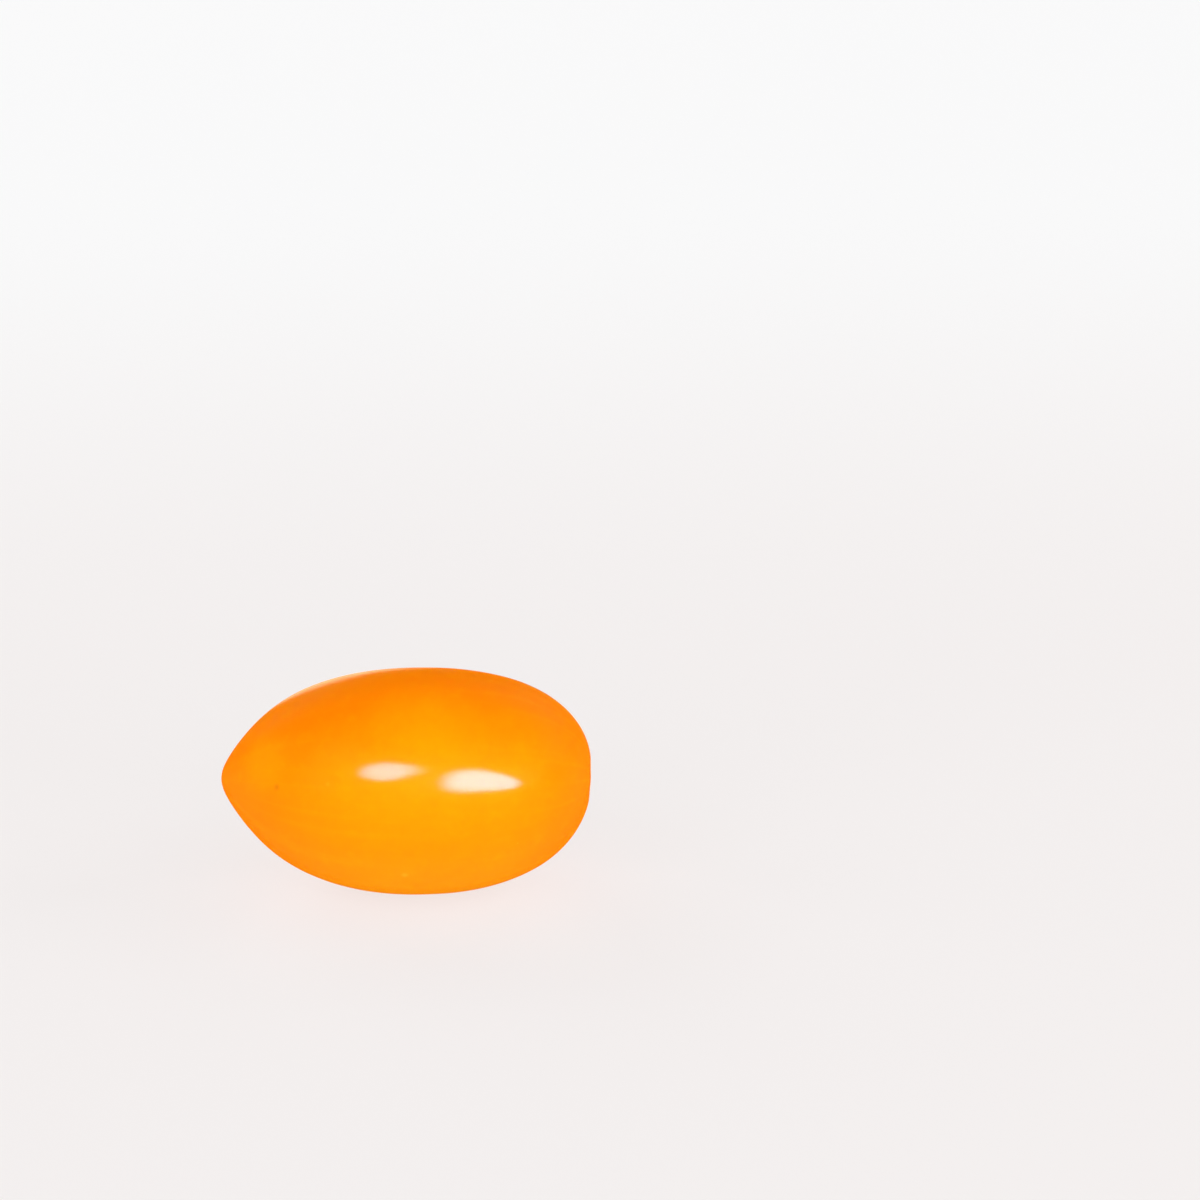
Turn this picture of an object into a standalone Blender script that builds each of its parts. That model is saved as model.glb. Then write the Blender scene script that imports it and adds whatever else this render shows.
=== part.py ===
"""A long cherry tomato of the grape kind, picked clean of its calyx and lying on its side.

The fruit grew as one piece, so it is one solid. Its blossom tip points to -X, its stem scar to +X,
and it rests on a small flat spot under the belly. The origin is the middle of that flat spot.
"""

import math

import bmesh
import bpy

# Driving dimensions, in metres and degrees. Stations are measured along the axis from the blossom tip.
LENGTH = 0.0382
DIAMETER = 0.0235
BELLY_STATION = 0.0201
SHOULDER_POWER = 2.3  # 2 would be a plain elliptic stem end, more is squarer
SHOULDER_SLANT = 0.035  # how far the upper shoulder stands out past the lower one, per unit of height
TIP_PINCH = 0.365  # share by which the flanks draw in at the blossom tip
PINCH_REACH = 0.0033
PINCH_POWER = 1.2

# The fruit is a little bent, lies a little stem end down, and has pressed a flat spot into its underside.
AXIS_SAG = 0.00033
AXIS_DIP = 1.0
AXIS_HEIGHT = 0.01187  # of the axis over the surface, at the resting station
REST_STATION = 0.0207

# Two and three seed chambers swell the skin very gently.
CHAMBER_SWELLS = ((2, 0.006, 35.0), (3, 0.005, 80.0))  # count round the axis, share of the radius, first crest
PUCKER_COUNT = 5
PUCKER_DEPTH = 0.00002
PUCKER_RADIUS = 0.0021

# The stem end sinks in a shallow dimple round the corky scar where the stalk broke off.
DIMPLE_DEPTH = 0.0003
DIMPLE_RADIUS = 0.0017
SCAR_RADIUS = 0.00105
SCAR_RECESS = 0.00016
SCAR_EDGE = 0.00010
LIP_RISE = 0.00005
LIP_RADIUS = 0.00135
LIP_WIDTH = 0.00022
PIT_DEPTH = 0.00018
PIT_RADIUS = 0.00035

# How finely the solid is faceted.
SEGMENTS = 72
SCAR_RINGS = 9
SCAR_ZONE = 0.0018
DIMPLE_RINGS = 5
DIMPLE_ZONE = 0.0040
SHOULDER_RINGS = 16
TIP_RINGS = 24
MERGE_DISTANCE = 0.000001

SKIN_COLOUR = (0.93, 0.30, 0.01, 1.0)
SKIN_ROUGHNESS = 0.22


def clear_scene():
    for item in list(bpy.data.objects):
        bpy.data.objects.remove(item, do_unlink=True)


def smooth_step(value, low, high):
    share = min(max((value - low) / (high - low), 0.0), 1.0)
    return share * share * (3 - 2 * share)


def stem_relief(radius):
    """How far the skin or cork at this radius lies below the plain rounded stem end."""
    dimple = DIMPLE_DEPTH * math.exp(-((radius / DIMPLE_RADIUS) ** 2))
    recess = SCAR_RECESS * (1 - smooth_step(radius, SCAR_RADIUS - SCAR_EDGE, SCAR_RADIUS + SCAR_EDGE))
    lip = LIP_RISE * math.exp(-(((radius - LIP_RADIUS) / LIP_WIDTH) ** 2))
    pit = PIT_DEPTH * math.exp(-((radius / PIT_RADIUS) ** 2))
    return dimple + recess + pit - lip


def stem_station(radius):
    """Where the stem end's surface lies at a radius from the axis."""
    share = 1 - (2 * radius / DIAMETER) ** SHOULDER_POWER
    rounded_end = (LENGTH - BELLY_STATION) * share ** (1 / SHOULDER_POWER)
    return BELLY_STATION + rounded_end - stem_relief(radius)


def tip_point(angle):
    """Radius and station of the blossom half, from 0 at the tip to a quarter turn at the belly."""
    station = BELLY_STATION * (1 - math.cos(angle))
    pinch = TIP_PINCH * math.exp(-((station / PINCH_REACH) ** PINCH_POWER))
    return DIAMETER / 2 * math.sin(angle) * (1 - pinch), station


def half_profile():
    """Radius and station of each ring, from the middle of the stem scar down to the blossom tip."""
    scar_radii = [SCAR_ZONE * ring / SCAR_RINGS for ring in range(SCAR_RINGS)]
    step = (DIMPLE_ZONE - SCAR_ZONE) / DIMPLE_RINGS
    dimple_radii = [SCAR_ZONE + step * ring for ring in range(DIMPLE_RINGS)]
    first_angle = math.acos((2 * DIMPLE_ZONE / DIAMETER) ** (SHOULDER_POWER / 2))
    shoulder_angles = [first_angle * (1 - ring / SHOULDER_RINGS) for ring in range(SHOULDER_RINGS)]
    shoulder_radii = [DIAMETER / 2 * math.cos(angle) ** (2 / SHOULDER_POWER) for angle in shoulder_angles]
    stem_half = [(radius, stem_station(radius)) for radius in scar_radii + dimple_radii + shoulder_radii]
    tip_half = [tip_point(math.pi / 2 * (1 - ring / TIP_RINGS)) for ring in range(TIP_RINGS)]
    return stem_half + tip_half + [(0.0, 0.0)]


def turned_skin():
    """The half profile turned about the long axis, with the fruit standing on its blossom tip."""
    points = [(radius, 0.0, station) for radius, station in half_profile()]
    edges = [(index, index + 1) for index in range(len(points) - 1)]
    outline = bpy.data.meshes.new("half_profile")
    outline.from_pydata(points, edges, [])
    blank = bpy.data.objects.new("half_profile", outline)
    bpy.context.scene.collection.objects.link(blank)
    screw = blank.modifiers.new("turn", "SCREW")
    screw.axis = "Z"
    screw.angle = 2 * math.pi
    screw.steps = SEGMENTS
    screw.render_steps = SEGMENTS
    screw.use_merge_vertices = True
    screw.merge_threshold = MERGE_DISTANCE
    turned = blank.evaluated_get(bpy.context.evaluated_depsgraph_get())
    skin = bpy.data.meshes.new_from_object(turned)
    bpy.data.objects.remove(blank, do_unlink=True)
    bpy.data.meshes.remove(outline)
    return skin


def chamber_swell(station, angle):
    """Share by which the seed chambers push the skin out; it fades to nothing at both ends."""
    fade = math.sqrt(max(math.sin(math.pi * min(max(station / LENGTH, 0.0), 1.0)), 0.0))
    waves = [share * math.cos(count * (angle - math.radians(crest))) for count, share, crest in CHAMBER_SWELLS]
    return fade * sum(waves)


def stem_pucker(station, radius, angle):
    """Shallow folds that run out of the dimple over the stem shoulder."""
    if station < BELLY_STATION:
        return 0.0
    reach = (radius / PUCKER_RADIUS) ** 2
    return PUCKER_DEPTH * reach * math.exp(1 - reach) * math.cos(PUCKER_COUNT * angle)


def lying_point(standing):
    """Where a point of the turned, standing fruit goes on the grown fruit as it lies."""
    radius = math.hypot(standing.x, standing.y)
    angle = math.atan2(standing.y, standing.x)
    slant = -SHOULDER_SLANT * radius * math.cos(angle) * (standing.z / LENGTH) ** 3
    station = standing.z + slant - stem_pucker(standing.z, radius, angle)
    radius *= 1 + chamber_swell(station, angle)
    sag = AXIS_SAG * (1 - (2 * station / LENGTH - 1) ** 2)
    along = station - REST_STATION
    across = radius * math.sin(angle)
    above = -radius * math.cos(angle) - sag
    dip = math.radians(AXIS_DIP)
    x = along * math.cos(dip) + above * math.sin(dip)
    z = AXIS_HEIGHT - along * math.sin(dip) + above * math.cos(dip)
    return x, across, max(z, 0.0)


def skin_material():
    material = bpy.data.materials.new("orange_skin")
    material.use_nodes = True
    shader = material.node_tree.nodes["Principled BSDF"]
    shader.inputs["Base Color"].default_value = SKIN_COLOUR
    shader.inputs["Roughness"].default_value = SKIN_ROUGHNESS
    shader.inputs["Metallic"].default_value = 0.0
    return material


def build_fruit(collection):
    skin = turned_skin()
    shape = bmesh.new()
    shape.from_mesh(skin)
    for vertex in shape.verts:
        vertex.co = lying_point(vertex.co)
    bmesh.ops.triangulate(shape, faces=[face for face in shape.faces if len(face.verts) > 3])
    shape.to_mesh(skin)
    shape.free()
    skin.name = "fruit"
    skin.shade_smooth()
    skin.materials.clear()
    skin.materials.append(skin_material())
    collection.objects.link(bpy.data.objects.new("fruit", skin))


clear_scene()
cherry_tomato = bpy.data.collections.new("cherry_tomato")
bpy.context.scene.collection.children.link(cherry_tomato)
build_fruit(cherry_tomato)
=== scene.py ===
"""A long cherry tomato of the grape kind, lying on its side on white paper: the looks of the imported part."""

import math

import bmesh
import bpy
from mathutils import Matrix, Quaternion, Vector, noise


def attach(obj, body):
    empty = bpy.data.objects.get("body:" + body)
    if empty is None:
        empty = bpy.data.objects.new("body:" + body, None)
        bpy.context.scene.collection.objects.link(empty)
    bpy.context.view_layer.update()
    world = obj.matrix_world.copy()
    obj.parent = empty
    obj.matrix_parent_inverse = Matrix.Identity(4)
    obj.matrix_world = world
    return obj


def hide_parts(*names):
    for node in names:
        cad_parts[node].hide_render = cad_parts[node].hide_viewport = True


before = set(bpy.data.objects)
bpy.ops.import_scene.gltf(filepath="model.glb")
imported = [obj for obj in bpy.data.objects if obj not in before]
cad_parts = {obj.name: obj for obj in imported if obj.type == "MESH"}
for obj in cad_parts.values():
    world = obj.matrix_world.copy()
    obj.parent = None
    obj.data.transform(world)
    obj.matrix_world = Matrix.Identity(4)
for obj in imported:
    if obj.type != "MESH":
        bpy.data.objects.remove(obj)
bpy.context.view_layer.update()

# The fruit's skin. A real one is a thin tight cuticle over wet flesh, swollen from the blossom tip at
# -X to the stem end at +X. It is turned about the long axis, bent, swelled and flattened by the same
# sizes as its solid, in metres and degrees. Stations run along the axis from the blossom tip.
LENGTH = 0.0382
DIAMETER = 0.0235
BELLY_STATION = 0.0201
SHOULDER_POWER = 2.3  # 2 would be a plain elliptic stem end, more is squarer
SHOULDER_SLANT = 0.035  # how far the upper shoulder stands out past the lower one, per unit of height
TIP_PINCH = 0.365  # share by which the flanks draw in at the blossom tip
PINCH_REACH = 0.0033
PINCH_POWER = 1.2
AXIS_SAG = 0.00033  # how far the middle of the bent axis hangs below its ends
AXIS_DIP = 1.0  # how steeply the axis runs down to the stem end
AXIS_HEIGHT = 0.01187  # of the axis over the paper, at the resting station
REST_STATION = 0.0207
CHAMBER_SWELLS = ((2, 0.006, 35.0), (3, 0.005, 80.0))  # count, share of the radius, first crest
PUCKER_COUNT = 5
PUCKER_DEPTH = 0.00002
PUCKER_RADIUS = 0.0021
SKIN_SEGMENTS = 256
SHOULDER_RINGS = 64
TIP_RINGS = 104
SKIN_WAVES = ((0.0055, 0.000030), (0.0021, 0.000010))  # lengths and heights of the faint unevenness


def shoulder_profile(radius):
    """Station of the plain rounded stem end at a radius from the axis."""
    share = 1 - (2 * radius / DIAMETER) ** SHOULDER_POWER
    return BELLY_STATION + (LENGTH - BELLY_STATION) * share ** (1 / SHOULDER_POWER)


def tip_point(angle):
    """Radius and station of the blossom half, from 0 at the tip to a quarter turn at the belly."""
    station = BELLY_STATION * (1 - math.cos(angle))
    pinch = TIP_PINCH * math.exp(-((station / PINCH_REACH) ** PINCH_POWER))
    return DIAMETER / 2 * math.sin(angle) * (1 - pinch), station


def chamber_swell(station, angle):
    """Share by which the seed chambers push the skin out; it fades to nothing at both ends."""
    fade = math.sqrt(max(math.sin(math.pi * min(max(station / LENGTH, 0.0), 1.0)), 0.0))
    swell = 0.0
    for count, share, crest in CHAMBER_SWELLS:
        swell += share * math.cos(count * (angle - math.radians(crest)))
    return fade * swell


def stem_pucker(station, radius, angle):
    """Shallow folds that run out of the dimple over the stem shoulder."""
    if station < BELLY_STATION:
        return 0.0
    reach = (radius / PUCKER_RADIUS) ** 2
    return PUCKER_DEPTH * reach * math.exp(1 - reach) * math.cos(PUCKER_COUNT * angle)


def lying_point(radius, angle, station):
    """Where a point of the turned fruit lies in the part's frame."""
    slant = -SHOULDER_SLANT * radius * math.cos(angle) * (station / LENGTH) ** 3
    station += slant - stem_pucker(station, radius, angle)
    radius *= 1 + chamber_swell(station, angle)
    sag = AXIS_SAG * (1 - (2 * station / LENGTH - 1) ** 2)
    along = station - REST_STATION
    above = -radius * math.cos(angle) - sag
    dip = math.radians(AXIS_DIP)
    x = along * math.cos(dip) + above * math.sin(dip)
    z = AXIS_HEIGHT - along * math.sin(dip) + above * math.cos(dip)
    return Vector((x, radius * math.sin(angle), z))


# The stem scar. Where the stalk broke off, a disc of dry cork closes the skin. It lies a little
# sunk behind a rounded lip, at the bottom of a shallow dimple, with a pit where the veins went in.
DIMPLE_DEPTH = 0.0003
DIMPLE_RADIUS = 0.0017
SCAR_RADIUS = 0.00105
SCAR_RECESS = 0.00016
SCAR_EDGE = 0.00010
LIP_RISE = 0.00005
LIP_RADIUS = 0.00135
LIP_WIDTH = 0.00022
PIT_DEPTH = 0.00018
PIT_RADIUS = 0.00035
SCAR_RINGS = 40
SCAR_ZONE = 0.0018
DIMPLE_RINGS = 22
DIMPLE_ZONE = 0.0040
FAR_FROM_SCAR = DIAMETER  # said of the whole blossom half, where no cork is
CRUMB_SIZE = 0.00022
CRUMB_HEIGHT = 0.000045
CRUMB_FRACTAL = (0.8, 2.0, 4)  # how fast finer crumbs shrink, how much finer each step is, and the steps


def smooth_step(value, low, high):
    """Rises softly from 0 at low to 1 at high."""
    share = min(max((value - low) / (high - low), 0.0), 1.0)
    return share * share * (3 - 2 * share)


def stem_relief(radius):
    """How far the skin or cork at this radius lies below the plain rounded stem end."""
    dimple = DIMPLE_DEPTH * math.exp(-((radius / DIMPLE_RADIUS) ** 2))
    recess = SCAR_RECESS * (1 - smooth_step(radius, SCAR_RADIUS - SCAR_EDGE, SCAR_RADIUS + SCAR_EDGE))
    lip = LIP_RISE * math.exp(-(((radius - LIP_RADIUS) / LIP_WIDTH) ** 2))
    pit = PIT_DEPTH * math.exp(-((radius / PIT_RADIUS) ** 2))
    return dimple + recess + pit - lip


def skin_rings():
    """Radius and station of each ring, from the middle of the stem scar down to near the blossom tip."""
    scar_radii = [SCAR_ZONE * ring / SCAR_RINGS for ring in range(SCAR_RINGS)]
    step = (DIMPLE_ZONE - SCAR_ZONE) / DIMPLE_RINGS
    dimple_radii = [SCAR_ZONE + step * ring for ring in range(DIMPLE_RINGS)]
    first_angle = math.acos((2 * DIMPLE_ZONE / DIAMETER) ** (SHOULDER_POWER / 2))
    shoulder_angles = [first_angle * (1 - ring / SHOULDER_RINGS) for ring in range(SHOULDER_RINGS)]
    shoulder_radii = [DIAMETER / 2 * math.cos(angle) ** (2 / SHOULDER_POWER) for angle in shoulder_angles]
    stem_radii = scar_radii + dimple_radii + shoulder_radii
    stem_half = [(radius, shoulder_profile(radius) - stem_relief(radius)) for radius in stem_radii]
    tip_half = [tip_point(math.pi / 2 * (1 - ring / TIP_RINGS)) for ring in range(TIP_RINGS)]
    return stem_half + tip_half


def grown_point(radius, angle, station):
    """A point of the fine skin, with its faint waves and, inside the scar, the crumbly cork."""
    point = lying_point(radius, angle, station)
    outward = Vector((0.0, point.y, point.z - AXIS_HEIGHT)).normalized()
    if station > BELLY_STATION:
        outward = (outward * radius + Vector((1.0, 0.0, 0.0)) * (DIAMETER / 2 - radius)).normalized()
    wave = sum(height * noise.noise(point / length) for length, height in SKIN_WAVES)
    if station > BELLY_STATION:
        cork = 1 - smooth_step(radius, SCAR_RADIUS - SCAR_EDGE, SCAR_RADIUS)
        wave += cork * CRUMB_HEIGHT * noise.fractal(point / CRUMB_SIZE, *CRUMB_FRACTAL)
    point += outward * wave
    point.z = max(point.z, 0.0)
    return point


def grow_skin():
    """The whole skin as one closed mesh, each point marked with its place round and along the fruit."""
    shape = bmesh.new()
    around = shape.verts.layers.float_vector.new("around")
    scar_distance = shape.verts.layers.float.new("scar_distance")
    rings = skin_rings()
    rows = []
    for index, (radius, station) in enumerate(rings):
        count = SKIN_SEGMENTS if index else 1
        row = []
        for segment in range(count):
            angle = 2 * math.pi * segment / SKIN_SEGMENTS
            vertex = shape.verts.new(grown_point(radius, angle, station))
            vertex[around] = (math.cos(angle), math.sin(angle), station / LENGTH)
            vertex[scar_distance] = radius if station > BELLY_STATION else FAR_FROM_SCAR
            row.append(vertex)
        rows.append(row)
    tip = shape.verts.new(grown_point(0.0, 0.0, 0.0))
    tip[around] = (0.0, 0.0, 0.0)
    tip[scar_distance] = FAR_FROM_SCAR
    rows.append([tip])
    for upper, lower in zip(rows, rows[1:]):
        for segment in range(SKIN_SEGMENTS):
            after = (segment + 1) % SKIN_SEGMENTS
            corners = [upper[segment % len(upper)], lower[segment % len(lower)]]
            corners += [lower[after % len(lower)], upper[after % len(upper)]]
            shape.faces.new(list(dict.fromkeys(corners)))
    bmesh.ops.recalc_face_normals(shape, faces=shape.faces[:])
    mesh = bpy.data.meshes.new("tomato")
    shape.to_mesh(mesh)
    shape.free()
    mesh.shade_smooth()
    tomato = bpy.data.objects.new("tomato", mesh)
    bpy.context.scene.collection.objects.link(tomato)
    return tomato


tomato = grow_skin()
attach(tomato, "root")
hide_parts("fruit")

# The skin's colour. Orange-yellow flesh shows through a clear, glossy cuticle. Bands by height carry
# painted light and shade: painted shade deepens the back, the shoulder and the low flank, painted light
# makes the flanks yellower and painted bounce light lifts the underside, over a skin that is itself a
# little deeper orange along the back. It is deeper at both ends, softly mottled, streaked along its
# length, and has a few soft specks and fine pale flecks.
# The five height colours are painted light and shade: bounce light on the underside, shade on the low flank,
# light on the flanks, shade on the shoulder and the back, where the skin is also a little deeper orange.
UNDERSIDE_BOUNCE_LIT_ORANGE = (0.88, 0.300, 0.0008, 1.0)
LOW_FLANK_SHADED_ORANGE = (0.88, 0.262, 0.0006, 1.0)
FLANK_LIT_YELLOW = (0.88, 0.297, 0.0006, 1.0)
SHOULDER_SHADED_ORANGE = (0.88, 0.245, 0.0006, 1.0)
BACK_SHADED_ORANGE = (0.87, 0.202, 0.0006, 1.0)
END_ORANGE = (0.88, 0.208, 0.0006, 1.0)
PALE_MOTTLE = (0.90, 0.365, 0.0010, 1.0)
DARK_MOTTLE = (0.84, 0.215, 0.0006, 1.0)
FLECK_YELLOW = (0.92, 0.42, 0.02, 1.0)
SPECK_BROWN = (0.50, 0.12, 0.004, 1.0)
HEIGHT_SHADE_BANDS = (  # share of the fruit's height at which each colour is full
    (0.08, UNDERSIDE_BOUNCE_LIT_ORANGE),
    (0.36, LOW_FLANK_SHADED_ORANGE),
    (0.70, FLANK_LIT_YELLOW),
    (0.88, SHOULDER_SHADED_ORANGE),
    (1.00, BACK_SHADED_ORANGE),
)
BROAD_PATCH = 0.0075
BAND_WANDER = 0.22  # share of the height by which the borders of the bands wander
BLOSSOM_END = (0.45, 0.08)  # shares of the length where the end's orange begins and where it is full
BLOSSOM_END_STRENGTH = 0.85
STEM_END = (0.72, 0.98)
STEM_END_STRENGTH = 0.95
MOTTLE_LEVELS = (0.24, 0.50, 0.78)  # noise at which the mottle is full dark, not seen and full pale
MOTTLE_PATCH = 0.0016
MOTTLE_DETAIL = 4.0
MOTTLE_STRENGTH = 0.14
STREAK_SCALES = (7.0, 7.0, 1.6)  # patches in half the fruit's height, in half its width and in its length
STREAK_DETAIL = 3.0
STREAK_STRENGTH = 0.16
FLECK_SPACING = 0.0024
FLECK_RADIUS = 0.00011
FLECK_CORE = 0.4  # share of a fleck's radius within which it is evenly pale
FLECK_CHOICE = (0.55, 1.0)  # lots that the cells draw: no fleck up to the first, a full one at the second
FLECK_STRENGTH = 0.55
SPOTS = (  # colour, middle, radius and strength
    (PALE_MOTTLE, (-0.01620, -0.00530, 0.01610), 0.00240, 0.35),
    (PALE_MOTTLE, (0.00080, -0.00830, 0.01990), 0.00420, 0.35),
    (SPECK_BROWN, (-0.01483, -0.00750, 0.01421), 0.00030, 0.50),
    (SPECK_BROWN, (0.00620, 0.00930, 0.01750), 0.00028, 0.40),
    (FLECK_YELLOW, (-0.00203, -0.00981, 0.00521), 0.00030, 0.55),
    (FLECK_YELLOW, (-0.00963, -0.00976, 0.01535), 0.00020, 0.30),
)
SPOT_EDGE = 0.9  # share of a spot's radius over which it fades, inward and outward


def noise_field(nodes, links, place, size, detail=2.0):
    """A noise of about 0 to 1 whose patches measure about the given size in the units of the place."""
    field = nodes.new("ShaderNodeTexNoise")
    field.inputs["Scale"].default_value = 1.0 / size
    field.inputs["Detail"].default_value = detail
    links.new(place, field.inputs["Vector"])
    return field.outputs["Fac"]


def ranged(nodes, links, value, low, high, first=0.0, last=1.0):
    """A smooth step of the value, from first at low to last at high."""
    step = nodes.new("ShaderNodeMapRange")
    step.interpolation_type = "SMOOTHSTEP"
    step.inputs["From Min"].default_value = low
    step.inputs["From Max"].default_value = high
    step.inputs["To Min"].default_value = first
    step.inputs["To Max"].default_value = last
    links.new(value, step.inputs["Value"])
    return step.outputs["Result"]


def reckoned(nodes, links, operation, *values):
    """The outcome of a sum in a maths node. Each value is a number or a field."""
    node = nodes.new("ShaderNodeMath")
    node.operation = operation
    for socket, value in zip(node.inputs, values):
        if isinstance(value, (int, float)):
            socket.default_value = value
        else:
            links.new(value, socket)
    return node.outputs["Value"]


def blended(nodes, links, share, first, second):
    """A colour that goes from first to second as the share rises."""
    node = nodes.new("ShaderNodeMix")
    node.data_type = "RGBA"
    links.new(share, node.inputs["Factor"])
    for socket, colour in ((node.inputs["A"], first), (node.inputs["B"], second)):
        if isinstance(colour, tuple):
            socket.default_value = colour
        else:
            links.new(colour, socket)
    return node.outputs["Result"]


def height_shaded_colour(nodes, links, place, parts):
    """The flesh colour with painted light and shade by height on the fruit, in bands with borders that wander.
    """
    height = reckoned(nodes, links, "MULTIPLY_ADD", parts.outputs["X"], -0.5, 0.5 - 0.5 * BAND_WANDER)
    patches = noise_field(nodes, links, place, BROAD_PATCH)
    wandering = reckoned(nodes, links, "MULTIPLY_ADD", patches, BAND_WANDER, height)
    bands = nodes.new("ShaderNodeValToRGB")
    bands.color_ramp.interpolation = "EASE"
    for share, colour in HEIGHT_SHADE_BANDS[1:-1]:
        bands.color_ramp.elements.new(share)
    for element, (share, colour) in zip(bands.color_ramp.elements, HEIGHT_SHADE_BANDS):
        element.position = share
        element.color = colour
    links.new(wandering, bands.inputs["Fac"])
    return bands.outputs["Color"]


def mottled(nodes, links, colour, field, strength):
    """The colour, paler where the noise is high and darker where it is low."""
    full_dark, unseen, full_pale = MOTTLE_LEVELS
    pale = ranged(nodes, links, field, unseen, full_pale, 0.0, strength)
    dark = ranged(nodes, links, field, unseen, full_dark, 0.0, strength)
    return blended(nodes, links, dark, blended(nodes, links, pale, colour, PALE_MOTTLE), DARK_MOTTLE)


def fleck_share(nodes, links, place):
    """Fine pale flecks in the skin, thinly and unevenly strewn."""
    cells = nodes.new("ShaderNodeTexVoronoi")
    cells.inputs["Scale"].default_value = 1.0 / FLECK_SPACING
    links.new(place, cells.inputs["Vector"])
    reach = FLECK_RADIUS / FLECK_SPACING
    near = ranged(nodes, links, cells.outputs["Distance"], reach, FLECK_CORE * reach)
    lot = nodes.new("ShaderNodeSeparateColor")
    links.new(cells.outputs["Color"], lot.inputs["Color"])
    chosen = ranged(nodes, links, lot.outputs["Red"], *FLECK_CHOICE, 0.0, FLECK_STRENGTH)
    return reckoned(nodes, links, "MULTIPLY", near, chosen)


def spot_share(nodes, links, place, middle, radius, strength):
    """A round soft-edged spot on the skin about a point."""
    node = nodes.new("ShaderNodeVectorMath")
    node.operation = "DISTANCE"
    links.new(place, node.inputs[0])
    node.inputs[1].default_value = middle
    distance = node.outputs["Value"]
    return ranged(nodes, links, distance, radius * (1 + SPOT_EDGE), radius * (1 - SPOT_EDGE), 0.0, strength)


def skin_colour(nodes, links, place, around):
    """The flesh as it shows through the skin, from its broad bands of painted light and shade down to the
    flecks and specks.
    """
    parts = nodes.new("ShaderNodeSeparateXYZ")
    links.new(around, parts.inputs["Vector"])
    blossom_end = ranged(nodes, links, parts.outputs["Z"], *BLOSSOM_END, 0.0, BLOSSOM_END_STRENGTH)
    stem_end = ranged(nodes, links, parts.outputs["Z"], *STEM_END, 0.0, STEM_END_STRENGTH)
    ends = reckoned(nodes, links, "MAXIMUM", blossom_end, stem_end)
    # The bands by height are painted light and shade; the ends are a deeper orange.
    colour = blended(nodes, links, ends, height_shaded_colour(nodes, links, place, parts), END_ORANGE)
    patches = noise_field(nodes, links, place, MOTTLE_PATCH, MOTTLE_DETAIL)
    colour = mottled(nodes, links, colour, patches, MOTTLE_STRENGTH)
    stretched = nodes.new("ShaderNodeVectorMath")
    stretched.operation = "MULTIPLY"
    stretched.inputs[1].default_value = STREAK_SCALES
    links.new(around, stretched.inputs[0])
    streaks = noise_field(nodes, links, stretched.outputs["Vector"], 1.0, STREAK_DETAIL)
    colour = mottled(nodes, links, colour, streaks, STREAK_STRENGTH)
    colour = blended(nodes, links, fleck_share(nodes, links, place), colour, FLECK_YELLOW)
    for spot_colour, middle, radius, strength in SPOTS:
        share = spot_share(nodes, links, place, middle, radius, strength)
        colour = blended(nodes, links, share, colour, spot_colour)
    return colour


# The two scars. The stem's is a disc of dry, dull cork, tan with a brown pit, in a ring of yellower
# skin that stayed shaded under the calyx. The blossom's is a tiny brown dot at the tip.
CORK_PALE = (0.66, 0.41, 0.085, 1.0)
CORK_TAN = (0.42, 0.24, 0.040, 1.0)
PIT_BROWN = (0.22, 0.11, 0.018, 1.0)
RING_YELLOW = (0.80, 0.38, 0.006, 1.0)
RING_REACH = 0.0030
RING_STRENGTH = 0.75
CORK_PATCH = 0.00028
CORK_DETAIL = 4.0
CORK_LEVELS = (0.35, 0.65)  # noise at which the cork is tan and at which it is pale
RAGGED_PATCH = 0.0005
RAGGED_DEPTH = 0.0003
PIT_FADE = (2.0, 0.6)  # shares of the pit's radius where its brown begins and where it is full
PIT_STRENGTH = 0.9
BLOSSOM_DOT = (0.0018, 0.0003)  # shares of the length where the dot's brown begins and where it is full
BLOSSOM_BROWN = (0.42, 0.16, 0.015, 1.0)
BLOSSOM_STRENGTH = 0.7


def cork_share(nodes, links, place, scar_distance):
    """One on the cork of the stem scar, nothing on the skin, with a slightly ragged edge."""
    field = noise_field(nodes, links, place, RAGGED_PATCH)
    ragged = reckoned(nodes, links, "MULTIPLY_ADD", field, RAGGED_DEPTH, scar_distance)
    edge = SCAR_RADIUS + 0.5 * RAGGED_DEPTH
    return ranged(nodes, links, ragged, edge + SCAR_EDGE, edge - SCAR_EDGE)


def scar_colour(nodes, links, place, around, scar_distance, colour):
    """The skin's colour with both scars and the stem scar's ring laid over it."""
    ring = ranged(nodes, links, scar_distance, RING_REACH, SCAR_RADIUS, 0.0, RING_STRENGTH)
    colour = blended(nodes, links, ring, colour, RING_YELLOW)
    patches = noise_field(nodes, links, place, CORK_PATCH, CORK_DETAIL)
    crumbs = ranged(nodes, links, patches, *CORK_LEVELS)
    cork = blended(nodes, links, crumbs, CORK_TAN, CORK_PALE)
    pit_limits = [share * PIT_RADIUS for share in PIT_FADE]
    pit = ranged(nodes, links, scar_distance, *pit_limits, 0.0, PIT_STRENGTH)
    cork = blended(nodes, links, pit, cork, PIT_BROWN)
    colour = blended(nodes, links, cork_share(nodes, links, place, scar_distance), colour, cork)
    parts = nodes.new("ShaderNodeSeparateXYZ")
    links.new(around, parts.inputs["Vector"])
    dot = ranged(nodes, links, parts.outputs["Z"], *BLOSSOM_DOT, 0.0, BLOSSOM_STRENGTH)
    return blended(nodes, links, dot, colour, BLOSSOM_BROWN)


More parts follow.
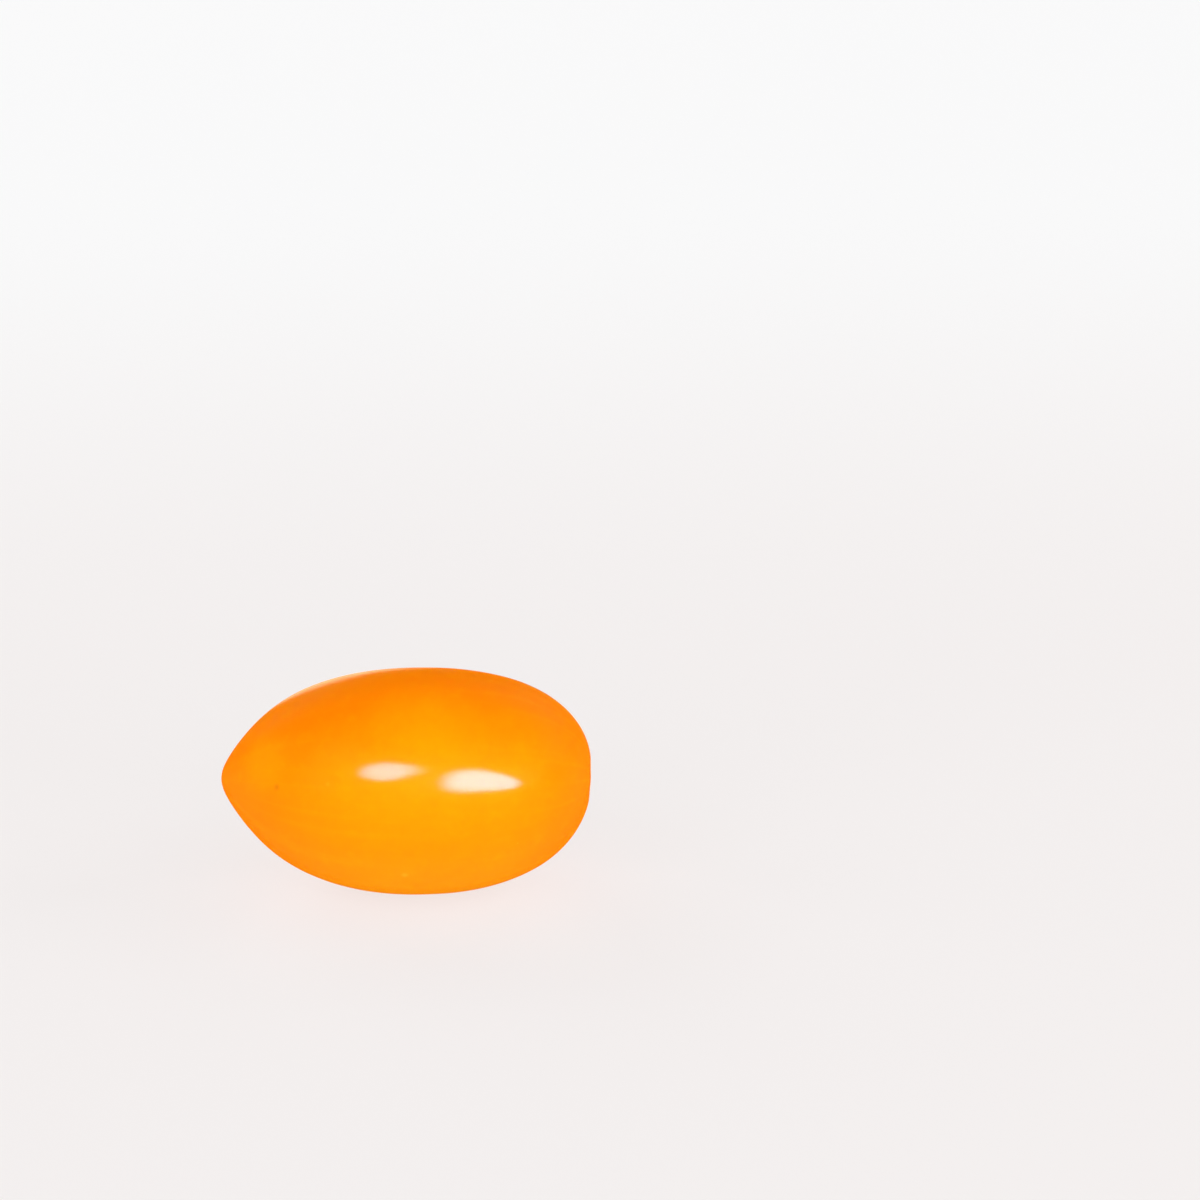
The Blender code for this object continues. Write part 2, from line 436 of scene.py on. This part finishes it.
# The skin's surface. The cuticle is waxy over fine cells, so its gloss is a sharp clear coat over a
# broad haze that takes the flesh's colour. The cork has no cuticle, so it is rough and dull.
HAZE_TINT = (1.0, 0.50, 0.02, 1.0)
HAZE_LEVEL = 0.12
SKIN_IOR = 1.45
SKIN_ROUGHNESS = (0.33, 0.39)
CORK_DULLNESS = 0.9
WAX_PATCH = 0.0012
WAX_LEVELS = (0.3, 0.7)  # noise at which the wax is at its smoothest and at its roughest
COAT_COVER = 0.5
COAT_ROUGHNESS = 0.09
COAT_IOR = 1.4
FLESH_GLOW = 0.4
FLESH_DEPTH = (3.0, 1.0, 0.3)  # how far red, green and blue light go into the flesh, in its unit
FLESH_UNIT = 0.001
CELL_SIZE = 0.00035
CELL_HEIGHT = 0.0000007
CORK_BUMP_DETAIL = 5.0
CORK_BUMP_HEIGHT = 0.00003


def surface_bump(nodes, links, place, cork):
    """Fine cells in the skin and crumbs in the cork."""
    cells = noise_field(nodes, links, place, CELL_SIZE)
    cells = reckoned(nodes, links, "MULTIPLY", cells, CELL_HEIGHT)
    crumbs = noise_field(nodes, links, place, CORK_PATCH, CORK_BUMP_DETAIL)
    crumbs = reckoned(nodes, links, "MULTIPLY", crumbs, CORK_BUMP_HEIGHT)
    bump = nodes.new("ShaderNodeBump")
    bump.inputs["Distance"].default_value = 1.0
    links.new(reckoned(nodes, links, "MULTIPLY_ADD", crumbs, cork, cells), bump.inputs["Height"])
    return bump.outputs["Normal"]


def skin_material():
    """Glossy skin over soft flesh, with dull cork on the stem scar."""
    material = bpy.data.materials.new("tomato_skin")
    material.use_nodes = True
    nodes = material.node_tree.nodes
    links = material.node_tree.links
    shader = nodes["Principled BSDF"]
    place = nodes.new("ShaderNodeTexCoord").outputs["Object"]
    around = nodes.new("ShaderNodeAttribute")
    around.attribute_name = "around"
    around = around.outputs["Vector"]
    scar_distance = nodes.new("ShaderNodeAttribute")
    scar_distance.attribute_name = "scar_distance"
    scar_distance = scar_distance.outputs["Fac"]
    colour = skin_colour(nodes, links, place, around)
    colour = scar_colour(nodes, links, place, around, scar_distance, colour)
    links.new(colour, shader.inputs["Base Color"])
    cork = cork_share(nodes, links, place, scar_distance)
    wax = ranged(nodes, links, noise_field(nodes, links, place, WAX_PATCH), *WAX_LEVELS, *SKIN_ROUGHNESS)
    dull = reckoned(nodes, links, "MULTIPLY", cork, CORK_DULLNESS)
    links.new(reckoned(nodes, links, "MAXIMUM", wax, dull), shader.inputs["Roughness"])
    links.new(ranged(nodes, links, cork, 0.0, 1.0, COAT_COVER, 0.0), shader.inputs["Coat Weight"])
    bump = surface_bump(nodes, links, place, cork)
    links.new(bump, shader.inputs["Normal"])
    links.new(bump, shader.inputs["Coat Normal"])
    shader.inputs["IOR"].default_value = SKIN_IOR
    shader.inputs["Specular IOR Level"].default_value = HAZE_LEVEL
    shader.inputs["Specular Tint"].default_value = HAZE_TINT
    shader.inputs["Coat Roughness"].default_value = COAT_ROUGHNESS
    shader.inputs["Coat IOR"].default_value = COAT_IOR
    shader.inputs["Subsurface Weight"].default_value = FLESH_GLOW
    shader.inputs["Subsurface Radius"].default_value = FLESH_DEPTH
    shader.inputs["Subsurface Scale"].default_value = FLESH_UNIT
    return material


tomato.data.materials.append(skin_material())

# The paper. The fruit lies on a wide sheet of matt white paper that glows softly by itself, a painted
# light, so that the shadows on it stay pale. Near the fruit it is a little darker and warmer than far
# behind it, a painted warm shade. The skin doesn't mirror it.
PAPER_SIZE = 4.0
# The near colours hold a painted warm shade; the glow is painted light.
PAPER_NEAR_WARM_SHADE = (0.160, 0.156, 0.156, 1.0)
PAPER_FAR = (0.165, 0.165, 0.167, 1.0)
GLOW_NEAR_WARM_SHADE = (0.94, 0.905, 0.897, 1.0)
GLOW_FAR = (1.0, 1.0, 1.0, 1.0)
GLOW_STRENGTH = 0.78
PAPER_ROUGHNESS = 0.9
# Over this reach the painted warm shade near the fruit fades out.
WARM_SHADE_REACH = (0.05, 0.28)  # from here to there behind the fruit the paper turns from warm to pure white


def lay_paper():
    """The sheet, with its painted glow and painted warm shade, which the camera sees and the gloss doesn't."""
    bpy.ops.mesh.primitive_plane_add(size=PAPER_SIZE, location=(0.0, 0.0, 0.0))
    paper = bpy.context.object
    paper.name = "paper"
    paper.visible_glossy = False
    material = bpy.data.materials.new("white_paper")
    material.use_nodes = True
    nodes = material.node_tree.nodes
    links = material.node_tree.links
    parts = nodes.new("ShaderNodeSeparateXYZ")
    links.new(nodes.new("ShaderNodeTexCoord").outputs["Object"], parts.inputs["Vector"])
    far = ranged(nodes, links, parts.outputs["Y"], *WARM_SHADE_REACH)
    shader = nodes["Principled BSDF"]
    # Both the colour and the glow carry the painted warm shade near the fruit; the glow is painted light.
    links.new(blended(nodes, links, far, PAPER_NEAR_WARM_SHADE, PAPER_FAR), shader.inputs["Base Color"])
    links.new(blended(nodes, links, far, GLOW_NEAR_WARM_SHADE, GLOW_FAR), shader.inputs["Emission Color"])
    shader.inputs["Emission Strength"].default_value = GLOW_STRENGTH
    shader.inputs["Roughness"].default_value = PAPER_ROUGHNESS
    shader.inputs["Specular IOR Level"].default_value = 0.0
    paper.data.materials.append(material)


lay_paper()

# The light. Broad soft lamps all round light the fruit and the paper, and aren't mirrored in the skin.
# Three soft-edged boxes, which only the gloss sees, make the two bright patches on the near flank and
# the thin light rim along the back.
FRUIT_MIDDLE = Vector((-0.00164, 0.0, 0.0117))
LAMP_DISTANCE = 1.2
BOX_DISTANCE = 1.0
ROOM_WHITE = (0.86, 0.84, 0.83, 1.0)
WARM_ROOM = (1.0, 0.245, 0.003, 1.0)
GLOSS_WHITE = (0.85, 0.60, 0.95)
CARD_WHITE = (1.0, 1.0, 0.70)
EVEN_SHARE = 0.45  # share of a gloss box's radius that is evenly bright, before it fades to its edge
SOFT_LAMPS = (  # name, azimuth, elevation, width, height and power
    ("front_high_lamp", 0.0, 40.0, 1.0, 0.5, 1.3),
    ("front_lamp", 0.0, 22.0, 1.0, 0.3, 3.7),
    ("front_low_lamp", 0.0, 7.0, 1.2, 0.2, 2.9),
    ("left_high_lamp", -45.0, 40.0, 0.6, 0.6, 1.9),
    ("left_low_lamp", -45.0, 14.0, 0.6, 0.4, 4.2),
    ("right_high_lamp", 45.0, 40.0, 0.6, 0.6, 1.1),
    ("right_low_lamp", 45.0, 14.0, 0.6, 0.4, 5.2),
    ("left_side_lamp", -90.0, 25.0, 0.8, 0.6, 3.8),
    ("right_side_lamp", 90.0, 25.0, 0.8, 0.6, 6.9),
    ("back_left_lamp", -145.0, 30.0, 0.8, 0.6, 5.6),
    ("back_right_lamp", 145.0, 30.0, 0.8, 0.6, 2.9),
    ("back_low_lamp", 180.0, 7.0, 1.2, 0.2, 4.0),
)
GLOSS_BOXES = (  # as above, then roll, colour, taper and bluntness, where 2 is round
    ("left_gloss_box", -10.8, 29.4, 0.44, 0.37, 18.8, 22.0, GLOSS_WHITE, 0.0, 2.0),
    ("right_gloss_box", 26.2, 15.5, 0.76, 0.63, 69.0, -18.0, GLOSS_WHITE, 0.75, 3.5),
    ("back_left_card", -173.0, -1.0, 0.275, 0.68, 0.66, -18.0, CARD_WHITE, 0.0, 2.0),
)


def make_room():
    """A room that is pale to the eye and warm where the skin mirrors it, and that lights nothing."""
    world = bpy.data.worlds.new("room")
    bpy.context.scene.world = world
    world.use_nodes = True
    world.cycles_visibility.diffuse = False
    nodes = world.node_tree.nodes
    links = world.node_tree.links
    ray = nodes.new("ShaderNodeLightPath")
    colour = blended(nodes, links, ray.outputs["Is Camera Ray"], WARM_ROOM, ROOM_WHITE)
    links.new(colour, nodes["Background"].inputs["Color"])


def hang_lamp(name, azimuth, elevation, distance, width, height, power, roll=0.0):
    """A flat lamp that faces the fruit. Azimuth 0 is in front, at -Y, and grows towards +X."""
    turn, rise = math.radians(azimuth), math.radians(elevation)
    toward = Vector((math.sin(turn) * math.cos(rise), -math.cos(turn) * math.cos(rise), math.sin(rise)))
    data = bpy.data.lights.new(name, "AREA")
    data.shape = "RECTANGLE"
    data.size = width
    data.size_y = height
    data.energy = power
    lamp = bpy.data.objects.new(name, data)
    lamp.location = FRUIT_MIDDLE + toward * distance
    facing = toward.to_track_quat("Z", "Y")
    lamp.rotation_euler = (facing @ Quaternion((0.0, 0.0, 1.0), math.radians(roll))).to_euler()
    bpy.context.scene.collection.objects.link(lamp)
    return lamp


def soft_lamp(name, azimuth, elevation, width, height, power):
    """A broad lamp that lights the fruit and the paper and isn't mirrored."""
    lamp = hang_lamp(name, azimuth, elevation, LAMP_DISTANCE, width, height, power)
    lamp.visible_glossy = False


def shade_box(data, taper, bluntness):
    """Lets a box fade from its even middle to a round or blunter edge, and narrow towards one end."""
    data.use_nodes = True
    nodes = data.node_tree.nodes
    links = data.node_tree.links
    parts = nodes.new("ShaderNodeSeparateXYZ")
    links.new(nodes.new("ShaderNodeNewGeometry").outputs["Parametric"], parts.inputs["Vector"])
    along = reckoned(nodes, links, "MULTIPLY_ADD", parts.outputs["X"], 2.0, -1.0)
    across = reckoned(nodes, links, "MULTIPLY_ADD", parts.outputs["Y"], 2.0, -1.0)
    narrowed = reckoned(nodes, links, "MULTIPLY_ADD", parts.outputs["X"], -taper, 1.0)
    across = reckoned(nodes, links, "DIVIDE", across, narrowed)
    ends = reckoned(nodes, links, "POWER", reckoned(nodes, links, "ABSOLUTE", along), bluntness)
    radius = reckoned(nodes, links, "SQRT", reckoned(nodes, links, "MULTIPLY_ADD", across, across, ends))
    links.new(ranged(nodes, links, radius, 1.0, EVEN_SHARE), nodes["Emission"].inputs["Strength"])


def gloss_box(name, azimuth, elevation, width, height, power, roll, colour, taper, bluntness):
    """A box that only the gloss sees, and that the paper doesn't hide."""
    lamp = hang_lamp(name, azimuth, elevation, BOX_DISTANCE, width, height, power, roll)
    lamp.data.color = colour
    lamp.data.use_shadow = False
    lamp.visible_diffuse = False
    lamp.visible_camera = False
    shade_box(lamp.data, taper, bluntness)


make_room()
for lamp_row in SOFT_LAMPS:
    soft_lamp(*lamp_row)
for box_row in GLOSS_BOXES:
    gloss_box(*box_row)

# The camera looks down at the fruit from the front, as in the photograph, through a long lens.
PHOTO_SIZE = 1200
FRUIT_PIXEL = (406.4, 779.5)  # where the fruit's middle is in the photograph
LENS = 135.0
SENSOR = 36.0
CAMERA_DISTANCE = 0.465
CAMERA_ELEVATION = 20.0
CAMERA_TURN = 3.0


def place_camera():
    """Puts the camera where the fruit's middle falls on its pixel of the photograph."""
    rise, turn = math.radians(CAMERA_ELEVATION), math.radians(CAMERA_TURN)
    forward = Vector((math.sin(turn) * math.cos(rise), math.cos(turn) * math.cos(rise), -math.sin(rise)))
    right = forward.cross(Vector((0.0, 0.0, 1.0))).normalized()
    up = right.cross(forward)
    focal_pixels = LENS / SENSOR * PHOTO_SIZE
    aside = (FRUIT_PIXEL[0] - PHOTO_SIZE / 2) / focal_pixels
    below = (FRUIT_PIXEL[1] - PHOTO_SIZE / 2) / focal_pixels
    data = bpy.data.cameras.new("camera")
    data.lens = LENS
    data.sensor_width = SENSOR
    camera = bpy.data.objects.new("camera", data)
    camera.location = FRUIT_MIDDLE - CAMERA_DISTANCE * (forward + aside * right - below * up)
    camera.rotation_euler = forward.to_track_quat("-Z", "Y").to_euler()
    bpy.context.scene.collection.objects.link(camera)
    bpy.context.scene.camera = camera


place_camera()
bpy.context.scene.view_settings.view_transform = "Standard"
